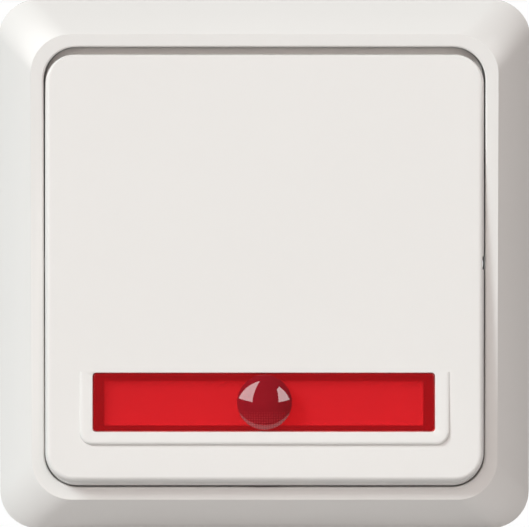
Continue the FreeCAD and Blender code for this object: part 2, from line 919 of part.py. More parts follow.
def make_fixed_bar():
    low, high = contact_z - fixed_bar_half_height, contact_z + fixed_bar_half_height
    left = -fixed_bar_reach
    arm = box(left, blade_half_width, fixed_bar_front, fixed_bar_rear, low, high)
    riser = box(left, left + bar_thickness, fixed_bar_front, block_front, low, fixed_foot_top)
    foot = box(
        left, -bar_half_width - bar_gap, bar_front, block_front, fixed_foot_bottom, fixed_foot_top,
    )
    hole = rod_y(
        contact_shank + static_play, fixed_bar_front - overrun, fixed_bar_rear + overrun, 0, contact_z,
    )
    return cut(join(arm, riser, foot), hole)


def make_fixed_contact():
    head = rod_y(fixed_contact_radius, fixed_contact_front, fixed_bar_front, 0, contact_z)
    return join(
        head, rod_y(contact_shank, fixed_bar_front, fixed_bar_rear + contact_upset, 0, contact_z),
    )


def make_terminal_block():
    """The right-hand block: two conductor ports, their clamp chambers and a key's pocket."""
    body = box(
        block_inner, block_outer, block_front, rear_wall, -block_half_height, block_half_height,
    )
    nose = box(
        block_inner + block_shoulder + block_play, block_outer - block_shoulder,
        rear_wall - sink, socket_depth,
        -block_half_height + block_shoulder, block_half_height - block_shoulder,
    )
    chamber_rear = socket_depth - port_depth
    rear = socket_depth + overrun
    hollows = []
    for x in port_x:
        hollows.append(rod_y(port_radius, chamber_rear - sink, rear, x, port_z))
        hollows.append(box(
            x - chamber_width / 2, x + chamber_width / 2, block_front + chamber_wall, chamber_rear,
            chamber_bottom, key_z + key_height / 2,
        ))
    half_width, half_height = key_width / 2 + key_play, key_height / 2 + key_play
    hollows.append(box(
        key_middle - half_width, key_middle + half_width, key_front - key_travel - key_spare, rear,
        key_z - half_height, key_z + half_height,
    ))
    return cut(join(body, nose), *hollows)


def make_release_key():
    half_width, half_height = key_width / 2, key_height / 2
    key = box(
        key_middle - half_width, key_middle + half_width, key_front, key_rear,
        key_z - half_height, key_z + half_height,
    )
    groove = box(
        key_middle - key_groove_length / 2, key_middle + key_groove_length / 2,
        key_rear - key_groove_depth, key_rear + overrun,
        key_z - key_groove_width / 2, key_z + key_groove_width / 2,
    )
    return cut(key, groove)


def make_terminal_springs():
    """A folded clamp in each port's chamber, with a leaf that bears on the conductor."""
    front = block_front + chamber_wall
    rear = socket_depth - port_depth - clamp_rear_gap
    low, high = chamber_bottom, key_z + key_height / 2 - clamp_roof_gap
    tip_y, tip_z = front + leaf_reach, port_z + leaf_reach
    t = clamp_thickness
    springs = []
    for x in port_x:
        x0, x1 = x - clamp_width / 2, x + clamp_width / 2
        back = box(x0, x1, front, front + t, low, high)
        floor = box(x0, x1, front, rear, low, low + t)
        roof = box(x0, x1, front, rear, high - t, high)
        leaf = prism_x(
            [(rear, high - t), (rear - t, high - t), (tip_y, tip_z), (tip_y + t, tip_z)], x0, x1,
        )
        springs.append(join(back, floor, roof, leaf))
    return group(springs + [across(spring) for spring in springs])


def make_lamp_holder():
    x, z = lamp_holder_half_width, lamp_holder_half_height
    body = box(-x, x, raised_front - sink, lamp_holder_depth, lamp_z - z, lamp_z + z)
    flange = box(
        -x - lamp_flange, x + lamp_flange, lamp_front, raised_front,
        lamp_z - z - lamp_flange, lamp_z + z + lamp_flange,
    )
    lamp_hole = rod_y(lamp_radius + static_play, lamp_front - overrun, lamp_rear, 0, lamp_z)
    half_width, half_height = board_half_width + static_play, board_thickness / 2 + static_play
    board_slot = box(
        -half_width, half_width, lamp_rear - static_play, lamp_holder_depth + overrun,
        lamp_z - half_height, lamp_z + half_height,
    )
    return cut(join(body, flange), lamp_hole, board_slot)


def make_signal_lamp():
    body = rod_y(lamp_radius, lamp_front, lamp_rear, 0, lamp_z)
    return join(body, Part.makeSphere(lamp_radius, Vector(0, lamp_front, lamp_z)))


def make_lamp_board():
    return box(
        -board_half_width, board_half_width, lamp_rear, board_end,
        lamp_z - board_thickness / 2, lamp_z + board_thickness / 2,
    )


def make_lamp_contacts():
    """Two strips along the socket's lower wall, with a finger up to the lamp board."""
    x0, x1 = lamp_contact_x, lamp_contact_x + lamp_contact_width
    front, low = board_end - lamp_finger_inset, cavity_bottom
    strip = box(x0, x1, front, lamp_contact_end, low, low + lamp_contact_thickness)
    finger = box(
        x0, x1, front, front + lamp_contact_thickness, low, lamp_z - board_thickness / 2,
    )
    return group(both(join(strip, finger)))


def make_pull_slider():
    legs = both(box(
        slider_leg_inner, slider_leg_outer, slider_front, slider_rear,
        slider_bottom + slider_bridge / 2, wedge_high,
    ))
    bridge = box(
        -slider_leg_outer, slider_leg_outer, slider_front, slider_rear,
        slider_bottom, slider_bottom + slider_bridge,
    )
    nose_y, nose_height = at_rest(cradle_rear + nose_radius, nose_z)
    tilts = math.radians(tilt_at_rest), math.radians(travel - tilt_at_rest)
    slope = nose_z * sum(math.sin(tilt) for tilt in tilts) / pull_travel

    def wedge_face(z):
        return nose_y + wedge_gap - slope * (z - nose_height)

    root = slider_front + sink
    wedge = prism_x(
        [(root, wedge_low), (wedge_face(wedge_low), wedge_low),
         (wedge_face(wedge_high), wedge_high), (root, wedge_high)],
        slider_leg_inner, slider_leg_outer,
    )
    eye = rod_y(
        cord_eye_radius, slider_front - overrun, slider_rear + overrun,
        0, slider_bottom + slider_bridge / 2,
    )
    return cut(join(bridge, *legs, *both(wedge)), eye)


def make_claw_screw():
    head = slotted_head(
        claw_head_radius, ring_front - claw_head_height, ring_front, claw_screw_x, 0,
        ring_front - claw_head_height,
    )
    return join(head, rod_y(claw_screw_radius, ring_front, claw_screw_end, claw_screw_x, 0))


def make_claw_nut():
    front = claw_foot_y + claw_thickness + nut_play
    half = nut_size / 2
    block = box(claw_screw_x - half, claw_screw_x + half, front, front + nut_height, -half, half)
    bore = rod_y(
        claw_screw_radius + running_play, front - overrun, front + nut_height + overrun,
        claw_screw_x, 0,
    )
    return cut(block, bore)


def make_claw():
    """The right-hand claw: toothed web, foot with the screw's slot, and ears that hold the nut."""
    outer = claw_web_x + claw_thickness
    foot_rear = claw_foot_y + claw_thickness
    clear = claw_screw_radius + claw_slot_play
    slot_inner = claw_screw_x - claw_spread
    foot_inner = slot_inner - clear - claw_foot_rim
    half, wide = claw_half_height, claw_bay_half_height - claw_bay_play
    pieces = [
        box(claw_web_x, outer, claw_front, foot_rear, -half, half),
        box(claw_web_x, outer, claw_front, claw_front + claw_shoulder, -wide, wide),
        box(foot_inner, outer, claw_foot_y, foot_rear, -half, half),
    ]
    ear_inner = nut_size / 2 + nut_play
    for low in (-ear_inner - nut_ear, ear_inner):
        rear = foot_rear + nut_height
        pieces.append(box(foot_inner, outer, foot_rear - sink, rear, low, low + nut_ear))
    root = outer - sink
    tooth = [
        (root, claw_front), (outer + claw_tooth, claw_front), (root, claw_front + claw_tooth_length),
    ]
    pitch = 2 * wide / claw_teeth
    for i in range(claw_teeth):
        low = -wide + pitch * i
        pieces.append(prism_z(tooth, low + claw_tooth_gap, low + pitch - claw_tooth_gap))
    front, rear = claw_foot_y - overrun, foot_rear + overrun
    slot = [
        box(slot_inner, claw_screw_x, front, rear, -clear, clear),
        rod_y(clear, front, rear, slot_inner, 0),
        rod_y(clear, front, rear, claw_screw_x, 0),
    ]
    return cut(join(*pieces), *slot)


def make_all():
    """Every piece of the switch, by name."""
    right = {
        "terminal_block": make_terminal_block(),
        "release_key": make_release_key(),
        "claw_screw": make_claw_screw(),
        "claw_nut": make_claw_nut(),
        "claw": make_claw(),
    }
    pieces = {
        "cover_frame": make_cover_frame(),
        "cord_outlet_bush": make_cord_outlet_bush(),
        "support_ring": make_support_ring(),
        "ring_rivets": make_ring_rivets(),
        "rocker_plate": make_rocker_plate(),
        "window_hood": make_window_hood(),
        "signal_lens": make_signal_lens(),
        "label_strip": make_label_strip(),
        "label_tray": make_label_tray(),
        "rocker_cradle": make_rocker_cradle(),
        "pivot_axle": make_pivot_axle(),
        "socket_cover": make_socket_cover(),
        "socket_base": make_socket_base(),
        "housing_screws": make_housing_screws(),
        "plunger": make_plunger(),
        "return_spring": make_return_spring(),
        "contact_blade": make_contact_blade(),
        "moving_contact": make_moving_contact(),
        "blade_pin": make_blade_pin(),
        "common_bar": make_common_bar(),
        "contact_spring": make_contact_spring(),
        "fixed_bar": make_fixed_bar(),
        "fixed_contact": make_fixed_contact(),
        "terminal_springs": make_terminal_springs(),
        "lamp_holder": make_lamp_holder(),
        "signal_lamp": make_signal_lamp(),
        "lamp_board": make_lamp_board(),
        "lamp_contacts": make_lamp_contacts(),
        "pull_slider": make_pull_slider(),
    }
    for name, shape in right.items():
        pieces[name + "_right"] = shape
        pieces[name + "_left"] = across(shape)
    return pieces


os.makedirs("parts", exist_ok=True)
for name, shape in make_all().items():
    shape.exportStep(f"parts/{name}.step")
    limits = shape.BoundBox
    print(
        f"{name}: {len(shape.Solids)} solid, valid {shape.isValid()}, {shape.Volume:.1f} mm3,"
        f" x {limits.XMin:.2f} {limits.XMax:.2f}, y {limits.YMin:.2f} {limits.YMax:.2f},"
        f" z {limits.ZMin:.2f} {limits.ZMax:.2f}"
    )
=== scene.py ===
import json
import math

import bmesh
import bpy
from mathutils import Matrix, Vector


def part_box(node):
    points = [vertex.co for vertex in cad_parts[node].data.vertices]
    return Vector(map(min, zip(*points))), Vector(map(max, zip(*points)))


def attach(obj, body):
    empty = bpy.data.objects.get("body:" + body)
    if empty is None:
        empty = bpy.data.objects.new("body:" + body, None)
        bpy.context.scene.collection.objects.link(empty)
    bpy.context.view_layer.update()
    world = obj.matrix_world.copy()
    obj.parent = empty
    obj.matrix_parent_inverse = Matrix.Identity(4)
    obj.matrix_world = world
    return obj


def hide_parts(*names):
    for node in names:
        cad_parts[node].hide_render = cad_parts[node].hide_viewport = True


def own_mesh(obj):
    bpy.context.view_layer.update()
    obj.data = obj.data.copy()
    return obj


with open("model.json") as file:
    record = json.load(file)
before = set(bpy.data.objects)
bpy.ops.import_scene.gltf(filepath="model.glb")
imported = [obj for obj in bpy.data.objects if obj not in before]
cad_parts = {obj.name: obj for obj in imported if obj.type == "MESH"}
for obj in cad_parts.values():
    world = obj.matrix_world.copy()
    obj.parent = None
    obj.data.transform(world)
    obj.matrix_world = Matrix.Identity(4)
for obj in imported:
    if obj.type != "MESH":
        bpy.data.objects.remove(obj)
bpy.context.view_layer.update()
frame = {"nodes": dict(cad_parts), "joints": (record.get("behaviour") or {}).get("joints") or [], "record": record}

# Flush-mounted pull cord switch: white frame and rocker plate, red label window with a domed lens.
# Metres. X points right, Z up, the room is towards -Y and the wall surface is y = 0.
mm = 0.001
record = frame["record"]
jointNamed = {joint["name"]: joint for joint in frame["joints"]}
bodyOfNode = {node: body for body, nodes in record["behaviour"]["bodies"].items() for node in nodes}
slotOfNode = {part["node"]: part["material_slot"] for part in record["subparts"]}


# Small tools for nodes
def addNode(tree, kind, inputs=None, **settings):
    node = tree.nodes.new(kind)
    for key, value in settings.items():
        setattr(node, key, value)
    for key, value in (inputs or {}).items():
        if isinstance(value, bpy.types.NodeSocket):
            tree.links.new(value, node.inputs[key])
        else:
            node.inputs[key].default_value = value
    return node


def blendColours(tree, mask, first, second):
    node = addNode(tree, "ShaderNodeMix", {0: mask}, data_type="RGBA")
    for index, value in ((6, first), (7, second)):
        if isinstance(value, bpy.types.NodeSocket):
            tree.links.new(value, node.inputs[index])
        else:
            node.inputs[index].default_value = (*value, 1)
    return node.outputs[2]


def rescale(tree, value, low, high, start=0.0, end=1.0):
    return addNode(tree, "ShaderNodeMapRange", {
        "Value": value, "From Min": start, "From Max": end, "To Min": low, "To Max": high}).outputs["Result"]


def calculate(tree, operation, first, second):
    return addNode(tree, "ShaderNodeMath", {0: first, 1: second}, operation=operation).outputs[0]


def mixShaders(tree, share, first, second):
    return addNode(tree, "ShaderNodeMixShader", {0: share, 1: first.outputs[0], 2: second.outputs[0]})


def emptyTree(owner):
    owner.use_nodes = True
    owner.node_tree.nodes.clear()
    return owner.node_tree


def newGroup(name, inputs, outputs):
    tree = bpy.data.node_groups.new(name, "ShaderNodeTree")
    for label, kind, start in inputs:
        socket = tree.interface.new_socket(label, in_out="INPUT", socket_type=kind)
        if start is not None:
            socket.default_value = start
    for label, kind in outputs:
        tree.interface.new_socket(label, in_out="OUTPUT", socket_type=kind)
    return tree, tree.nodes.new("NodeGroupInput").outputs, tree.nodes.new("NodeGroupOutput").inputs


# Moulded plastic: broad sink marks and a fine eroded grain
def makeMouldedGroup():
    tree, given, out = newGroup(
        "Moulded surface",
        (("Vector", "NodeSocketVector", None), ("Wave Scale", "NodeSocketFloat", 45.0),
         ("Grain Scale", "NodeSocketFloat", 3500.0), ("Grain Share", "NodeSocketFloat", 0.15)),
        (("Wave", "NodeSocketFloat"), ("Height", "NodeSocketFloat")),
    )
    wave = addNode(tree, "ShaderNodeTexNoise", {
        "Vector": given["Vector"], "Scale": given["Wave Scale"], "Detail": 1.0, "Roughness": 0.4})
    grain = addNode(tree, "ShaderNodeTexNoise", {
        "Vector": given["Vector"], "Scale": given["Grain Scale"], "Detail": 2.0, "Roughness": 0.6})
    fine = calculate(tree, "MULTIPLY", grain.outputs[0], given["Grain Share"])
    tree.links.new(wave.outputs[0], out["Wave"])
    tree.links.new(calculate(tree, "ADD", wave.outputs[0], fine), out["Height"])
    return tree


# Rolled or drawn metal: streaks along one direction and soft stains
def makeMetalGroup():
    tree, given, out = newGroup(
        "Worked metal",
        (("Vector", "NodeSocketVector", None), ("Streak Scale", "NodeSocketFloat", 900.0),
         ("Stain Scale", "NodeSocketFloat", 220.0)),
        (("Streak", "NodeSocketFloat"), ("Stain", "NodeSocketFloat")),
    )
    stretched = addNode(tree, "ShaderNodeMapping", {"Vector": given["Vector"], "Scale": (1.0, 1.0, 0.06)})
    streak = addNode(tree, "ShaderNodeTexNoise", {
        "Vector": stretched.outputs[0], "Scale": given["Streak Scale"], "Detail": 3.0, "Roughness": 0.6})
    stain = addNode(tree, "ShaderNodeTexNoise", {
        "Vector": given["Vector"], "Scale": given["Stain Scale"], "Detail": 3.0, "Roughness": 0.55})
    tree.links.new(streak.outputs[0], out["Streak"])
    tree.links.new(stain.outputs[0], out["Stain"])
    return tree


plasticIor = 1.49
mouldedGroup = makeMouldedGroup()
metalGroup = makeMetalGroup()


def startMaterial(name):
    made = bpy.data.materials.new(name)
    tree = emptyTree(made)
    place = addNode(tree, "ShaderNodeTexCoord").outputs["Object"]
    return made, tree, place, tree.nodes.new("ShaderNodeOutputMaterial").inputs["Surface"]


# Each plastic: two near colours, roughness, scale of its sink marks and its grain, share of the grain, bump
plasticFinishes = {
    "white_gloss": dict(colour=(0.80, 0.775, 0.752), shade=(0.785, 0.76, 0.737), roughness=0.20,
                        wave=38.0, grain=2600.0, share=0.02, bump=0.02),
    "white_satin": dict(colour=(0.80, 0.775, 0.745), shade=(0.788, 0.762, 0.732), roughness=0.33,
                        wave=45.0, grain=5200.0, share=0.05, bump=0.03),
    "grey_plastic": dict(colour=(0.42, 0.43, 0.43), shade=(0.37, 0.38, 0.385), roughness=0.45,
                         wave=120.0, grain=3600.0, share=0.30, bump=0.10),
    "black_plastic": dict(colour=(0.022, 0.023, 0.024), shade=(0.032, 0.032, 0.033), roughness=0.38,
                          wave=140.0, grain=3800.0, share=0.25, bump=0.10),
    "ivory_plastic": dict(colour=(0.70, 0.66, 0.54), shade=(0.62, 0.58, 0.46), roughness=0.42,
                          wave=130.0, grain=3600.0, share=0.30, bump=0.10),
    "orange_plastic": dict(colour=(0.80, 0.20, 0.025), shade=(0.70, 0.15, 0.018), roughness=0.36,
                           wave=160.0, grain=4200.0, share=0.22, bump=0.10),
    "label_card": dict(colour=(0.86, 0.85, 0.83), shade=(0.80, 0.79, 0.77), roughness=0.75,
                       wave=300.0, grain=9000.0, share=0.80, bump=0.12),
    "board_green": dict(colour=(0.012, 0.13, 0.045), shade=(0.008, 0.09, 0.03), roughness=0.30,
                        wave=400.0, grain=6000.0, share=0.40, bump=0.15),
}


def makePlastic(name, finish):
    made, tree, place, surface = startMaterial(name)
    moulded = addNode(tree, "ShaderNodeGroup", node_tree=mouldedGroup)
    for label, value in (("Wave Scale", finish["wave"]), ("Grain Scale", finish["grain"]),
                         ("Grain Share", finish["share"])):
        moulded.inputs[label].default_value = value
    tree.links.new(place, moulded.inputs["Vector"])
    colour = blendColours(tree, moulded.outputs["Wave"], finish["colour"], finish["shade"])
    bump = addNode(tree, "ShaderNodeBump", {
        "Height": moulded.outputs["Height"], "Strength": finish["bump"], "Distance": 0.1 * mm})
    rough = finish["roughness"]
    shader = addNode(tree, "ShaderNodeBsdfPrincipled", {
        "Base Color": colour, "IOR": plasticIor, "Normal": bump.outputs[0],
        "Roughness": rescale(tree, moulded.outputs["Wave"], rough * 0.9, rough * 1.1)})
    tree.links.new(shader.outputs[0], surface)
    return made


metalFinishes = {
    "zinc_steel": dict(colour=(0.60, 0.61, 0.62), shade=(0.50, 0.50, 0.49), roughness=(0.26, 0.46),
                       streak=500.0, stain=320.0, bump=0.12),
    "bright_steel": dict(colour=(0.68, 0.68, 0.67), shade=(0.58, 0.58, 0.57), roughness=(0.18, 0.32),
                         streak=1200.0, stain=200.0, bump=0.10),
    "spring_steel": dict(colour=(0.46, 0.46, 0.47), shade=(0.34, 0.34, 0.36), roughness=(0.22, 0.38),
                         streak=1600.0, stain=300.0, bump=0.10),
    "brass": dict(colour=(0.78, 0.57, 0.26), shade=(0.62, 0.43, 0.18), roughness=(0.22, 0.42),
                  streak=1000.0, stain=260.0, bump=0.12),
    "silver": dict(colour=(0.86, 0.85, 0.82), shade=(0.72, 0.70, 0.66), roughness=(0.20, 0.36),
                   streak=1400.0, stain=400.0, bump=0.10),
}


def makeMetal(name, finish):
    made, tree, place, surface = startMaterial(name)
    worked = addNode(tree, "ShaderNodeGroup", node_tree=metalGroup)
    worked.inputs["Streak Scale"].default_value = finish["streak"]
    worked.inputs["Stain Scale"].default_value = finish["stain"]
    tree.links.new(place, worked.inputs["Vector"])
    bump = addNode(tree, "ShaderNodeBump", {
        "Height": worked.outputs["Streak"], "Strength": finish["bump"], "Distance": 0.05 * mm})
    shader = addNode(tree, "ShaderNodeBsdfPrincipled", {
        "Base Color": blendColours(tree, worked.outputs["Stain"], finish["colour"], finish["shade"]),
        "Roughness": rescale(tree, worked.outputs["Stain"], *finish["roughness"]),
        "Metallic": 1.0, "Normal": bump.outputs[0]})
    tree.links.new(shader.outputs[0], surface)
    return made


# Clear plastics let tinted light through to what lies behind them
clearFinishes = {
    "red_clear": dict(colour=(0.59, 0.0125, 0.0175), transmission=0.58, roughness=0.03, gleam=0.5,
                      coat=0.0, tint=(0.93, 0.20, 0.22)),
    "red_lens": dict(colour=(0.34, 0.006, 0.015), transmission=0.25, roughness=0.02, gleam=1.0,
                     coat=1.0, tint=(0.70, 0.05, 0.06)),
    "lamp_clear": dict(colour=(0.96, 0.97, 0.97), transmission=0.95, roughness=0.04, gleam=0.5,
                       coat=0.0, tint=(0.95, 0.95, 0.95)),
}
clearSurface = dict(wave=160.0, bump=0.03, coatIor=1.6)
# Lens prism grid: the pattern is real, and its lighter red, only in the lower part, is painted sheen
lensPrismSheen = dict(colour=(0.58, 0.03, 0.042), step=0.38 * mm, scatter=0.15, rim=0.5, core=0.2,
                fadeStart=-21.2 * mm, fadeEnd=-23.2 * mm)


# The fine prism grid in the lens's lower part: the grid of prisms is real, and its lighter red, fading out
# upwards, is painted sheen
def addPrismSheen(tree, place, plain):
    d = lensPrismSheen
    spot = addNode(tree, "ShaderNodeSeparateXYZ", {0: place}).outputs
    flat = addNode(tree, "ShaderNodeCombineXYZ", {"X": spot["X"], "Y": spot["Z"]})
    cells = addNode(tree, "ShaderNodeTexVoronoi", {
        "Vector": flat.outputs[0], "Scale": 1 / d["step"], "Randomness": d["scatter"]},
        voronoi_dimensions="2D")
    # Painted sheen: the prisms are made lighter, and only towards the bottom of the lens
    dots = rescale(tree, cells.outputs["Distance"], 0.0, 1.0, d["rim"], d["core"])
    share = rescale(tree, spot["Z"], 0.0, 1.0, d["fadeStart"], d["fadeEnd"])
    return blendColours(tree, calculate(tree, "MULTIPLY", dots, share), plain, d["colour"])


def makeClear(name, finish):
    made, tree, place, surface = startMaterial(name)
    moulded = addNode(tree, "ShaderNodeGroup", node_tree=mouldedGroup)
    moulded.inputs["Wave Scale"].default_value = clearSurface["wave"]
    moulded.inputs["Grain Share"].default_value = 0.0
    tree.links.new(place, moulded.inputs["Vector"])
    bump = addNode(tree, "ShaderNodeBump", {
        "Height": moulded.outputs["Height"], "Strength": clearSurface["bump"], "Distance": 0.05 * mm})
    plain = finish["colour"]
    shader = addNode(tree, "ShaderNodeBsdfPrincipled", {
        # The red lens gets the prism grid with its painted sheen
        "Base Color": addPrismSheen(tree, place, plain) if name == "red_lens" else (*plain, 1),
        "Roughness": finish["roughness"], "IOR": plasticIor, "Specular IOR Level": finish["gleam"],
        "Coat Weight": finish["coat"], "Coat IOR": clearSurface["coatIor"],
        "Transmission Weight": finish["transmission"], "Normal": bump.outputs[0]})
    passing = addNode(tree, "ShaderNodeBsdfTransparent", {"Color": (*finish["tint"], 1)})
    shadowRay = addNode(tree, "ShaderNodeLightPath").outputs["Is Shadow Ray"]
    tree.links.new(mixShaders(tree, shadowRay, shader, passing).outputs[0], surface)
    return made


materials = {name: makePlastic(name, finish) for name, finish in plasticFinishes.items()}
materials.update({name: makeMetal(name, finish) for name, finish in metalFinishes.items()})
materials.update({name: makeClear(name, finish) for name, finish in clearFinishes.items()})
print("materials:", len(materials))

# Small tools for shapes
upright = Matrix.Rotation(math.pi / 2, 4, "X")
rockerAxis = Vector(jointNamed["rocker_tilt"]["pos_m"])
restTilt = (Matrix.Translation(rockerAxis)
            @ Matrix.Rotation(-math.radians(jointNamed["rocker_tilt"]["range_deg"][1] / 2), 4, "X")
            @ Matrix.Translation(-rockerAxis))
cornerSteps = 12
weldDistance = 0.0005 * mm

pad = dict(
    limits=(-28.07 * mm, 28.07 * mm, -27.1 * mm, -15.6 * mm), rise=0.6 * mm, corner=2.0 * mm,
    topCorner=0.4 * mm, topInset=0.25, edge=0.6 * mm, edgeSteps=6,
    window=(-26.05 * mm, 25.85 * mm, -25.05 * mm, -16.15 * mm), windowCorner=0.5 * mm, windowEdge=0.16 * mm,
)
padLean = pad["rise"] / (pad["limits"][3] - pad["limits"][2])


# Tips a flat outline on the plate's face onto the pad's slope, by a share of the pad's rise
def leaned(share):
    lean = Matrix.Identity(4)
    lean[1][2] = padLean * share
    lean[1][3] = -padLean * share * pad["limits"][3]
    return lean


def grown(limits, by):
    x0, x1, z0, z1 = limits
    return x0 - by, x1 + by, z0 - by, z1 + by


# A flat outline with round corners: limits, lower and upper corner radius, y, and its lean onto the pad
def outlineAt(limits, corner, y, topCorner=None, lean=0.0):
    return dict(limits=limits, low=corner, high=corner if topCorner is None else topCorner, y=y, lean=lean)


# Where the middle of one of an outline's round corners is
def cornerMiddle(outline, sideX, sideZ):
    x0, x1, z0, z1 = outline["limits"]
    radius = outline["high"] if sideZ > 0 else outline["low"]
    x = x1 - radius if sideX > 0 else x0 + radius
    z = z1 - radius if sideZ > 0 else z0 + radius
    return Vector((x, 0, z)), radius


# An outline as a closed loop of edges
def addOutline(bm, outline):
    x0, x1, z0, z1 = outline["limits"]
    place = Matrix.Translation(((x0 + x1) / 2, outline["y"], (z0 + z1) / 2))
    size = Matrix.Diagonal(((x1 - x0) / 2, 1, (z1 - z0) / 2, 1))
    verts = bmesh.ops.create_grid(bm, x_segments=1, y_segments=1, size=1,
                                  matrix=place @ size @ upright)["verts"]
    low = [vert for vert in verts if vert.co.z < (z0 + z1) / 2]
    high = [vert for vert in verts if vert.co.z > (z0 + z1) / 2]
    for corners, radius in ((low, outline["low"]), (high, outline["high"])):
        bmesh.ops.bevel(bm, geom=corners, offset=radius, offset_type="OFFSET", segments=cornerSteps,
                        profile=0.5, affect="VERTICES", material=-1)
    bmesh.ops.delete(bm, geom=bm.faces[:], context="FACES_ONLY")
    bmesh.ops.transform(bm, matrix=leaned(outline["lean"]), verts=bm.verts)
    return bm.edges[:]


# Draws an outline's loop on to the next outline, corner by corner
def drawOn(bm, edges, old, new):
    made = bmesh.ops.extrude_edge_only(bm, edges=edges)["geom"]
    verts = [item for item in made if isinstance(item, bmesh.types.BMVert)]
    middleX, middleZ = sum(old["limits"][:2]) / 2, sum(old["limits"][2:]) / 2
    moves = []
    for sideX, sideZ in ((-1, -1), (1, -1), (1, 1), (-1, 1)):
        corner = [v for v in verts if (v.co.x - middleX) * sideX > 0 and (v.co.z - middleZ) * sideZ > 0]
        start, oldRadius = cornerMiddle(old, sideX, sideZ)
        end, newRadius = cornerMiddle(new, sideX, sideZ)
        ratio = newRadius / oldRadius
        matrix = (Matrix.Translation(end + Vector((0, new["y"], 0))) @ Matrix.Diagonal((ratio, 0, ratio, 1))
                  @ Matrix.Translation(-start))
        moves.append((matrix, corner))
    for matrix, corner in moves:
        bmesh.ops.transform(bm, matrix=matrix, verts=corner)
    bmesh.ops.transform(bm, matrix=leaned(new["lean"]), verts=verts)
    return [item for item in made if isinstance(item, bmesh.types.BMEdge)]


# A skin through a row of outlines, whose ends are joined, or closed with a flat face each
def loft(bm, outlines, joined=True):
    first = addOutline(bm, outlines[0])
    edges = first
    for old, new in zip(outlines, outlines[1:] + (outlines[:1] if joined else [])):
        edges = drawOn(bm, edges, old, new)
    if joined:
        bmesh.ops.remove_doubles(bm, verts=bm.verts, dist=weldDistance)
    else:
        for loop in (first, edges):
            bmesh.ops.edgeloop_fill(bm, edges=loop)


def addBox(bm, x0, x1, y0, y1, z0, z1):
    place = Matrix.Translation(((x0 + x1) / 2, (y0 + y1) / 2, (z0 + z1) / 2))
    bmesh.ops.create_cube(bm, size=1, matrix=place @ Matrix.Diagonal((x1 - x0, y1 - y0, z1 - z0, 1)))


# One shape cut by, or joined to, another
def combine(bm, tool, operation):
    pair = []
    for source in (bm, tool):
        bmesh.ops.recalc_face_normals(source, faces=source.faces)
        mesh = bpy.data.meshes.new("shape")
        source.to_mesh(mesh)
        source.free()
        pair.append(bpy.data.objects.new("shape", mesh))
        bpy.context.scene.collection.objects.link(pair[-1])
    modifier = pair[0].modifiers.new("Combine", "BOOLEAN")
    modifier.operation = operation
    modifier.object = pair[1]
    modifier.solver = "EXACT"
    modifier.use_self = True
    shaped = pair[0].evaluated_get(bpy.context.evaluated_depsgraph_get())
    result = bmesh.new()
    result.from_mesh(shaped.data)
    for used in pair:
        mesh = used.data
        bpy.data.objects.remove(used)
        bpy.data.meshes.remove(mesh)
    return result


# Turns a finished shape into a piece that rides on its CAD body and stands for its CAD nodes
def finishPiece(bm, name, nodes, edgeRound=0.0, sharpAngle=32.0, place=None):
    if place is not None:
        bmesh.ops.transform(bm, matrix=place, verts=bm.verts)
    bmesh.ops.recalc_face_normals(bm, faces=bm.faces)
    mesh = bpy.data.meshes.new(name)
    bm.to_mesh(mesh)
    bm.free()
    mesh.shade_smooth()
    mesh.set_sharp_from_angle(angle=math.pi if edgeRound else math.radians(sharpAngle))
    piece = bpy.data.objects.new(name, mesh)
    bpy.context.scene.collection.objects.link(piece)
    slotName = slotOfNode[nodes[0]]
    mesh.materials.append(materials[slotName])
    if edgeRound:
        rounding = piece.modifiers.new("Rounded edges", "BEVEL")
        rounding.width = edgeRound
        rounding.segments = 3
        rounding.limit_method = "ANGLE"
        rounding.angle_limit = math.radians(sharpAngle)
        rounding.miter_outer = "MITER_ARC"
    shading = piece.modifiers.new("Even shading", "WEIGHTED_NORMAL")
    shading.keep_sharp = True
    shading.weight = 80
    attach(piece, bodyOfNode[nodes[0]])
    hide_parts(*nodes)
    return piece


# Cover frame
frameLow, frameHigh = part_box("cover_frame")
coverFrame = dict(
    half=frameHigh.x, height=-frameLow.y, corner=5.8 * mm, rimHeight=2.8 * mm, crestInset=5.05 * mm,
    crestCorner=6.0 * mm, bulge=0.15 * mm, crestLand=1.6 * mm, lipRoll=0.35 * mm,
    lipCorner=5.0 * mm, lipWall=1.5 * mm, lipRear=5.0 * mm, wall=2.0 * mm, slopeSteps=10, rollSteps=9,
    hookSpread=28.0 * mm, hookWidth=4.4 * mm, hookArm=1.1 * mm, hookReach=0.85 * mm,
    hookFront=2.3 * mm, hookRear=1.5 * mm, hookGap=0.02 * mm, hookRoot=0.4 * mm,
    notchHalf=2.2 * mm, notchDepth=2.75 * mm, edgeRound=0.22 * mm, sharpAngle=24.0,
)
sink = 0.2 * mm  # how deep a hook or clip reaches into its arm
clear = mm  # how far a cut reaches past a surface


def square(half):
    return -half, half, -half, half


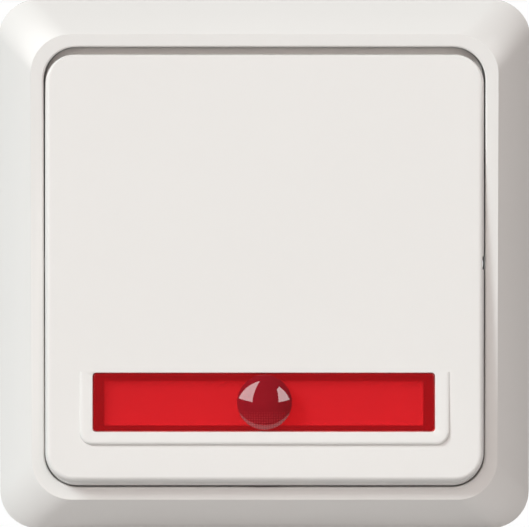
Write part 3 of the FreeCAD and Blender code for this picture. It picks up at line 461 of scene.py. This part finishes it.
def makeCoverFrame():
    c = coverFrame
    run, rise = c["crestInset"], c["height"] - c["rimHeight"]
    length = math.hypot(run, rise)
    stations = [(c["half"], c["corner"], 0.0)]
    for step in range(c["slopeSteps"] + 1):  # rim to crest, slightly swollen
        share = step / c["slopeSteps"]
        swell = 4 * c["bulge"] * share * (1 - share)
        stations.append((
            c["half"] - run * share + swell * rise / length,
            c["corner"] + (c["crestCorner"] - c["corner"]) * share,
            -(c["rimHeight"] + rise * share + swell * run / length)))
    opening = c["half"] - run - c["crestLand"] - c["lipRoll"]
    for step in range(c["rollSteps"] + 1):  # quarter round into the opening
        angle = math.pi / 2 * (1 - step / c["rollSteps"])
        widening = c["lipRoll"] * (1 - math.cos(angle))
        stations.append((opening + widening, c["lipCorner"] + widening,
                         -c["height"] + c["lipRoll"] * (1 - math.sin(angle))))
    lip = opening + c["lipWall"]
    wallX, wallY = c["wall"] * length / rise, c["wall"] * length / run
    shoulder = c["rimHeight"] + c["wall"] * rise / run - wallY
    meeting = c["rimHeight"] + (c["half"] - wallX - lip) * rise / run  # the slope meets the lip's wall
    inner = c["half"] - c["wall"]
    stations += [
        (opening, c["lipCorner"], -c["lipRear"]),
        (lip, c["lipCorner"] + c["lipWall"], -c["lipRear"]),
        (lip, c["lipCorner"] + c["lipWall"], -meeting),
        (inner, c["corner"] - c["wall"], -shoulder),
        (inner, c["corner"] - c["wall"], 0.0),
    ]
    bm = bmesh.new()
    loft(bm, [outlineAt(square(half), corner, y) for half, corner, y in stations])
    hooks = bmesh.new()
    hookInner = lip - c["hookArm"]
    for side in (-1, 1):
        for z in (-c["hookSpread"] / 2, c["hookSpread"] / 2):
            low, high = z - c["hookWidth"] / 2, z + c["hookWidth"] / 2
            for near, far, front in (
                    (hookInner, lip - c["hookGap"], -c["lipRear"] - c["hookRoot"]),
                    (hookInner - c["hookReach"], hookInner + sink, -c["hookFront"])):
                addBox(hooks, *sorted((side * near, side * far)), front, -c["hookRear"], low, high)
    bm = combine(bm, hooks, "UNION")
    notch = bmesh.new()
    addBox(notch, -c["notchHalf"], c["notchHalf"], -c["notchDepth"], clear,
           -c["half"] - clear, -inner + clear)
    bm = combine(bm, notch, "DIFFERENCE")
    return finishPiece(bm, "cover_frame_moulding", ["cover_frame"], c["edgeRound"], c["sharpAngle"])


makeCoverFrame()
print("cover frame made")

# Rocker plate
rockerPlate = dict(
    half=33.3 * mm, low=-33.36 * mm, high=33.25 * mm, corner=4.8 * mm, rear=-4.5 * mm, flareStart=-7.0 * mm,
    faceLow=-32.5 * mm, faceHigh=32.15 * mm, faceCorner=4.3 * mm, face=-9.9 * mm, edge=0.9 * mm, edgeSteps=9,
    ledgeLift=0.01 * mm, ledgeDepth=0.02 * mm, topInset=0.2, skin=-7.0 * mm, wall=1.5 * mm, topWall=1.8 * mm,
    edgeRound=0.08 * mm,
    clipX=14.5 * mm, clipWall=1.2 * mm, clipZ=8.0 * mm, clipWidth=4.0 * mm, clipRear=-4.9 * mm,
    clipBarb=0.7 * mm, clipBarbHeight=0.6 * mm, clipRoot=0.3 * mm,
    notchHalf=2.15 * mm, notchDepth=2.0 * mm, priseLow=-0.5 * mm, priseHigh=1.5 * mm, priseDepth=0.25 * mm,
)


def padFront(z):
    return rockerPlate["face"] - padLean * (pad["limits"][3] - z)


def makeRockerPlate():
    r = rockerPlate
    bm = bmesh.new()
    base = (-r["half"], r["half"], r["low"], r["high"])
    stepped = (-r["half"], r["half"], r["low"] + r["ledgeLift"], r["faceHigh"])
    outlines = [outlineAt(base, r["corner"], r["rear"]), outlineAt(base, r["corner"], r["flareStart"]),
                outlineAt(stepped, r["corner"], r["flareStart"] - r["ledgeDepth"])]
    flareDepth = r["flareStart"] - r["face"]
    flareLow = r["faceLow"] - r["low"]
    lowReach = 1 / math.tan((math.pi / 2 + math.atan(flareLow / flareDepth)) / 2)
    for step in range(r["edgeSteps"] + 1):  # the rounding between the flared sides and the face
        angle = math.pi / 2 * step / r["edgeSteps"]
        y = r["face"] + r["edge"] * (1 - math.sin(angle))
        inset = r["edge"] * (1 - math.cos(angle))
        share = (r["flareStart"] - y) / flareDepth
        limits = (-r["half"] + inset, r["half"] - inset,
                  r["low"] + flareLow * share + inset * lowReach,
                  r["faceHigh"] - inset * r["topInset"])
        corner = r["corner"] + (r["faceCorner"] - r["corner"]) * share - inset
        outlines.append(outlineAt(limits, corner, y))
    for step in range(pad["edgeSteps"] + 1):  # the pad's soft edge, which fades out at its top
        angle = math.pi / 2 * step / pad["edgeSteps"]
        inset = pad["edge"] * (1 - math.cos(angle))
        limits = (*grown(pad["limits"], -inset)[:3], pad["limits"][3] - inset * pad["topInset"])
        outlines.append(outlineAt(limits, pad["corner"] - inset, r["face"], pad["topCorner"],
                                  math.sin(angle)))
    edge = pad["windowEdge"]
    for grow, depth in ((edge, 0.0), (edge * 0.3, edge * 0.3), (0.0, edge)):
        outlines.append(outlineAt(grown(pad["window"], grow), pad["windowCorner"] + grow, r["face"] + depth,
                                  lean=1))
    inner = (-r["half"] + r["wall"], r["half"] - r["wall"], r["low"] + r["wall"], r["high"] - r["topWall"])
    outlines += [
        outlineAt(pad["window"], pad["windowCorner"], r["skin"]),
        outlineAt(inner, r["corner"] - r["wall"], r["skin"]),
        outlineAt(inner, r["corner"] - r["wall"], r["rear"]),
    ]
    loft(bm, outlines)
    clips = bmesh.new()
    for side in (-1, 1):
        for z in (-r["clipZ"], r["clipZ"]):
            low, high = z - r["clipWidth"] / 2, z + r["clipWidth"] / 2
            for near, far, front in ((r["clipX"], r["clipX"] + r["clipWall"], r["skin"] - r["clipRoot"]),
                                     (r["clipX"] - r["clipBarb"], r["clipX"] + sink,
                                      r["clipRear"] - r["clipBarbHeight"])):
                addBox(clips, *sorted((side * near, side * far)), front, r["clipRear"], low, high)
    bm = combine(bm, clips, "UNION")
    notches = bmesh.new()
    addBox(notches, -r["notchHalf"], r["notchHalf"], r["rear"] - r["notchDepth"], r["rear"] + clear,
           r["low"] - clear, r["low"] + r["wall"] + clear)
    addBox(notches, r["half"] - r["priseDepth"], r["half"] + clear, r["face"], r["rear"] + clear,
           r["priseLow"], r["priseHigh"])
    bm = combine(bm, notches, "DIFFERENCE")
    return finishPiece(bm, "rocker_plate_moulding", ["rocker_plate"], r["edgeRound"], 40.0, restTilt)


makeRockerPlate()
print("rocker plate made")

# Window hood, lens and label
hood = dict(play=0.06 * mm, recess=0.1 * mm, pane=2.4 * mm, sideWall=1.6 * mm, topWall=1.2 * mm,
            bottomWall=0.7 * mm, flange=0.9 * mm, flangeThickness=0.8 * mm, flangeCorner=1.0 * mm,
            edge=0.28 * mm, edgeSteps=4, hollowCorner=0.3 * mm)
lens = dict(radius=4.15 * mm, rise=1.6 * mm, stem=3.1 * mm, stemPlay=0.05 * mm, arcSteps=18, roundSteps=72)
windowMiddle = (pad["window"][2] + pad["window"][3]) / 2
lensPlace = (Matrix.Translation((0, padFront(windowMiddle) + hood["recess"], windowMiddle))
             @ Matrix.Rotation(-math.atan(padLean), 4, "X"))
stemLength = rockerPlate["skin"] + hood["flangeThickness"] - padFront(windowMiddle) - hood["recess"]


def addRod(bm, radius, y0, y1, place=Matrix.Identity(4), steps=64):
    middle = Matrix.Translation((0, (y0 + y1) / 2, 0))
    bmesh.ops.create_cone(bm, cap_ends=True, segments=steps, radius1=radius, radius2=radius, depth=y1 - y0,
                          matrix=place @ middle @ upright)


def makeHood():
    h = hood
    bm = bmesh.new()
    face = rockerPlate["face"]
    outer = grown(pad["window"], -h["play"])
    rear = rockerPlate["skin"] + h["flangeThickness"]
    outlines = []
    for step in range(h["edgeSteps"] + 1):  # front edge, rounded
        angle = math.pi / 2 * step / h["edgeSteps"]
        inset = h["edge"] * (1 - math.sin(angle))
        outlines.append(outlineAt(grown(outer, -inset), pad["windowCorner"] - inset,
                                  face + h["recess"] + h["edge"] * (1 - math.cos(angle)), lean=1))
    flange = grown(pad["window"], h["flange"])
    x0, x1, z0, z1 = outer
    hollow = (x0 + h["sideWall"], x1 - h["sideWall"], z0 + h["bottomWall"], z1 - h["topWall"])
    outlines += [
        outlineAt(outer, pad["windowCorner"], rockerPlate["skin"]),
        outlineAt(flange, h["flangeCorner"], rockerPlate["skin"]),
        outlineAt(flange, h["flangeCorner"], rear),
        outlineAt(hollow, h["hollowCorner"], rear),
        outlineAt(hollow, h["hollowCorner"], face + h["recess"] + h["pane"], lean=1),
    ]
    loft(bm, outlines, joined=False)
    hole = bmesh.new()
    addRod(hole, lens["stem"] + lens["stemPlay"], -2 * clear, stemLength + clear, lensPlace)
    bm = combine(bm, hole, "DIFFERENCE")
    return finishPiece(bm, "window_hood_clear", ["window_hood"], sharpAngle=30.0, place=restTilt)


def makeLens():
    s = lens
    ball = (s["radius"] ** 2 + s["rise"] ** 2) / (2 * s["rise"])
    rimAngle = math.asin(s["radius"] / ball)
    bm = bmesh.new()
    pole = bmesh.ops.create_vert(bm, co=(0, -s["rise"], 0))["vert"]
    bmesh.ops.spin(bm, geom=pole, cent=(0, ball - s["rise"], 0), axis=(0, 0, 1), dvec=(0, 0, 0),
                   angle=rimAngle, steps=s["arcSteps"], use_merge=False)
    tip = [max(bm.verts, key=lambda vert: abs(vert.co.x))]
    side = 1 if tip[0].co.x > 0 else -1
    for move in ((side * (s["stem"] - s["radius"]), 0, 0), (0, stemLength, 0), (-side * s["stem"], 0, 0)):
        grownVerts = bmesh.ops.extrude_vert_indiv(bm, verts=tip)["verts"]
        bmesh.ops.translate(bm, vec=move, verts=grownVerts)
        tip = grownVerts
    bmesh.ops.spin(bm, geom=bm.verts[:] + bm.edges[:], cent=(0, 0, 0), axis=(0, 1, 0), dvec=(0, 0, 0),
                   angle=2 * math.pi, steps=s["roundSteps"], use_merge=True)
    bmesh.ops.remove_doubles(bm, verts=bm.verts, dist=2 * weldDistance)
    return finishPiece(bm, "signal_lens_dome", ["signal_lens"], sharpAngle=40.0, place=restTilt @ lensPlace)


makeHood()
makeLens()
print("window hood and lens made")

# Springs, wound as coils of wire within their CAD solids
springs = {
    "return_spring": dict(joint="plunger_slide", radius=2.15 * mm, wire=0.25 * mm, keep=0.7),
    "contact_spring": dict(joint="blade_swing", radius=1.4 * mm, wire=0.2 * mm, keep=0.8),
}
coil = dict(turns=5, stepsInTurn=28, wireSides=12)


def makeSpring(node, s):
    low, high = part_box(node)
    middle = (low + high) / 2
    steps = coil["stepsInTurn"] * coil["turns"]
    rise = high.y - low.y - 2 * s["wire"]
    bm = bmesh.new()
    bmesh.ops.create_circle(bm, cap_ends=True, segments=coil["wireSides"], radius=s["wire"],
                            matrix=Matrix.Translation((middle.x + s["radius"], low.y + s["wire"], middle.z)))
    bmesh.ops.spin(bm, geom=bm.verts[:] + bm.edges[:] + bm.faces[:], cent=(middle.x, 0, middle.z),
                   axis=(0, 1, 0), dvec=(0, rise / steps, 0), angle=2 * math.pi * coil["turns"], steps=steps,
                   use_merge=False)
    spring = finishPiece(bm, node + "_coil", [node], sharpAngle=50.0)
    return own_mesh(spring)


for node, settings in springs.items():
    makeSpring(node, settings)
print("springs made")

# The other pieces: merged copies of the solids with broken edges, whose width is in millimetres
brokenEdges = {
    "cord_outlet_bush": 0.12, "support_ring": 0.12, "ring_rivets": 0.18, "label_strip": 0.0,
    "label_tray": 0.1, "rocker_cradle": 0.15, "pivot_axle": 0.12, "socket_cover": 0.18,
    "socket_base": 0.22, "housing_screws": 0.12, "plunger": 0.15, "contact_blade": 0.06,
    "moving_contact": 0.15, "blade_pin": 0.1, "common_bar": 0.08, "fixed_bar": 0.08,
    "fixed_contact": 0.12, "terminal_springs": 0.05, "lamp_holder": 0.12, "signal_lamp": 0.0,
    "lamp_board": 0.05, "lamp_contacts": 0.05, "pull_slider": 0.14,
}
pairEdges = {"terminal_block": 0.16, "release_key": 0.18, "claw_screw": 0.14, "claw_nut": 0.16, "claw": 0.1}
for name, width in pairEdges.items():
    brokenEdges.update({name + "_left": width, name + "_right": width})
copying = dict(merge=0.002 * mm, flatAngle=1.5, cornerAngle=35.0, segments=2, sharpAngle=40.0)


def makeCopy(node, width):
    bm = bmesh.new()
    bm.from_mesh(frame["nodes"][node].data)
    bmesh.ops.remove_doubles(bm, verts=bm.verts, dist=copying["merge"])
    bmesh.ops.dissolve_limit(bm, angle_limit=math.radians(copying["flatAngle"]), verts=bm.verts,
                             edges=bm.edges)
    if width:
        least = math.radians(copying["cornerAngle"])
        corners = [edge for edge in bm.edges if edge.is_manifold and edge.calc_face_angle() > least]
        bmesh.ops.bevel(bm, geom=corners, offset=width * mm, offset_type="OFFSET",
                        segments=copying["segments"], profile=0.5, affect="EDGES", clamp_overlap=True,
                        material=-1)
    return finishPiece(bm, node + "_finished", [node], sharpAngle=copying["sharpAngle"])


for node, width in brokenEdges.items():
    makeCopy(node, width)
print("other pieces made:", len(brokenEdges))

# Floor, light and camera
stage = dict(white=(1, 1, 1, 1), floorSize=3.0, floorColour=(0.5, 0.5, 0.5, 1), floorGlow=0.15,
             ambient=(0.10, 0.098, 0.096, 1), keyStrength=2.27, keyColour=(0.90, 0.985, 1.0),
             keyFrom=(-0.61, -0.54, 0.56), keyAngle=20.0, fillStrength=2.53, fillColour=(1.09, 1.0, 0.965),
             fillFrom=(0.08, -1, 0.05), fillAngle=80.0, panelGlow=2.8, panelAway=0.6,
             boothGlow=0.05, boothHalf=1.5, boothFront=-1.6, boothRear=0.6, boothTop=3.0, clothEdge=-0.021)


def makeFloor():
    bm = bmesh.new()
    bmesh.ops.create_grid(bm, x_segments=1, y_segments=1, size=stage["floorSize"],
                          matrix=Matrix.Translation((0, 0, frameLow.z)))
    mesh = bpy.data.meshes.new("floor")
    bm.to_mesh(mesh)
    bm.free()
    floor = bpy.data.objects.new("floor", mesh)
    bpy.context.scene.collection.objects.link(floor)
    made = bpy.data.materials.new("pale floor")
    tree = emptyTree(made)
    path = addNode(tree, "ShaderNodeLightPath").outputs
    mirrored = calculate(tree, "MULTIPLY", path["Is Glossy Ray"], stage["floorGlow"])
    seen = calculate(tree, "MAXIMUM", path["Is Camera Ray"], mirrored)
    glowing = calculate(tree, "MAXIMUM", seen, path["Is Transmission Ray"])
    matte = addNode(tree, "ShaderNodeBsdfDiffuse", {"Color": stage["floorColour"]})
    glow = addNode(tree, "ShaderNodeEmission", {"Color": stage["white"], "Strength": 1.0})
    lit = mixShaders(tree, glowing, matte, glow)
    below = addNode(tree, "ShaderNodeBsdfTransparent")
    side = addNode(tree, "ShaderNodeNewGeometry").outputs["Backfacing"]
    surface = mixShaders(tree, side, lit, below)
    output = tree.nodes.new("ShaderNodeOutputMaterial")
    tree.links.new(surface.outputs[0], output.inputs["Surface"])
    mesh.materials.append(made)


def makeWorld():
    world = bpy.data.worlds.new("studio")
    bpy.context.scene.world = world
    tree = emptyTree(world)
    path = addNode(tree, "ShaderNodeLightPath").outputs
    seen = calculate(tree, "MAXIMUM", path["Is Camera Ray"], path["Is Glossy Ray"])
    seen = calculate(tree, "MAXIMUM", seen, path["Is Transmission Ray"])
    light = addNode(tree, "ShaderNodeBackground", {"Color": stage["ambient"], "Strength": 1.0})
    white = addNode(tree, "ShaderNodeBackground", {"Color": stage["white"], "Strength": 1.0})
    output = tree.nodes.new("ShaderNodeOutputWorld")
    tree.links.new(mixShaders(tree, seen, light, white).outputs[0], output.inputs["Surface"])


def makeSun(name, strength, colour, angle, source):
    lamp = bpy.data.lights.new(name, "SUN")
    lamp.energy = strength
    lamp.color = colour
    lamp.angle = math.radians(angle)
    sun = bpy.data.objects.new(name, lamp)
    sun.rotation_euler = Vector(source).to_track_quat("Z", "Y").to_euler()
    sun.visible_glossy = False
    bpy.context.scene.collection.objects.link(sun)


# A glowing surface that only shows as a reflection in glossy parts
def addStageMesh(bm, name, strength):
    mesh = bpy.data.meshes.new(name)
    bm.to_mesh(mesh)
    bm.free()
    made = bpy.data.materials.new(name)
    tree = emptyTree(made)
    glow = addNode(tree, "ShaderNodeEmission", {"Color": stage["white"], "Strength": strength})
    output = tree.nodes.new("ShaderNodeOutputMaterial")
    tree.links.new(glow.outputs[0], output.inputs["Surface"])
    mesh.materials.append(made)
    panel = bpy.data.objects.new(name, mesh)
    bpy.context.scene.collection.objects.link(panel)
    panel.visible_camera = panel.visible_diffuse = panel.visible_shadow = panel.visible_transmission = False


# A soft box beside the switch. Its lower and upper edge are each given by two values of y and one of z.
def makeSoftBox(name, x, *edges):
    bm = bmesh.new()
    verts = bmesh.ops.create_grid(bm, x_segments=1, y_segments=1, size=1,
                                  matrix=Matrix.Rotation(math.pi / 2, 4, "Y"))["verts"]
    pairs = [vert for vert in verts if vert.co.z < 0], [vert for vert in verts if vert.co.z > 0]
    for pair, (y0, y1, z) in zip(pairs, edges):
        place = Matrix.Translation((x, (y0 + y1) / 2, z)) @ Matrix.Diagonal((1, abs(y1 - y0) / 2, 0, 1))
        bmesh.ops.transform(bm, matrix=Matrix.Scale(stage["panelAway"], 4) @ place, verts=pair)
    addStageMesh(bm, name, stage["panelGlow"])


# Dark surroundings, seen only as reflections: a booth that is open behind the switch, with a cloth before it
def makeBooth():
    b = stage
    bm = bmesh.new()
    addBox(bm, -b["boothHalf"], b["boothHalf"], b["boothFront"], b["boothRear"],
           frameLow.z + 0.5 * mm, b["boothTop"])
    bmesh.ops.bisect_plane(bm, geom=bm.verts[:] + bm.edges[:] + bm.faces[:],
                           plane_co=(0, b["clothEdge"], 0), plane_no=(0, 1, 0))
    middles = {face: face.calc_center_median() for face in bm.faces}
    bare = [face for face, middle in middles.items() if middle.y > b["boothRear"] - clear
            or (middle.z < 0 and middle.y > b["clothEdge"])]
    bmesh.ops.delete(bm, geom=bare, context="FACES")
    addStageMesh(bm, "dark booth", b["boothGlow"])


def makeCamera():
    shot = dict(away=0.9, elevation=4.5, sensor=36.0, fill=529 / 528.4)
    target = Vector((0, 0, 0))
    lift = math.radians(shot["elevation"])
    lensData = bpy.data.cameras.new("camera")
    lensData.sensor_width = shot["sensor"]
    lensData.lens = shot["sensor"] * shot["away"] / ((frameHigh.x - frameLow.x) * shot["fill"])
    lensData.clip_start = 0.05
    camera = bpy.data.objects.new("camera", lensData)
    camera.location = target + shot["away"] * Vector((0, -math.cos(lift), math.sin(lift)))
    camera.rotation_euler = (camera.location - target).to_track_quat("Z", "Y").to_euler()
    bpy.context.scene.collection.objects.link(camera)
    bpy.context.scene.camera = camera


makeFloor()
makeWorld()
makeSun("key", stage["keyStrength"], stage["keyColour"], stage["keyAngle"], stage["keyFrom"])
makeSun("fill", stage["fillStrength"], stage["fillColour"], stage["fillAngle"], stage["fillFrom"])
makeSoftBox("left soft box", -1, (-1.44, -0.18, 0.15), (-1.75, -1.6, 4.5))
makeSoftBox("right soft box", 1, (-1.18, -0.24, 0.11), (-1.02, -0.6, 1.12))
makeBooth()
makeCamera()
bpy.context.scene.view_settings.view_transform = "Standard"
print("stage made")
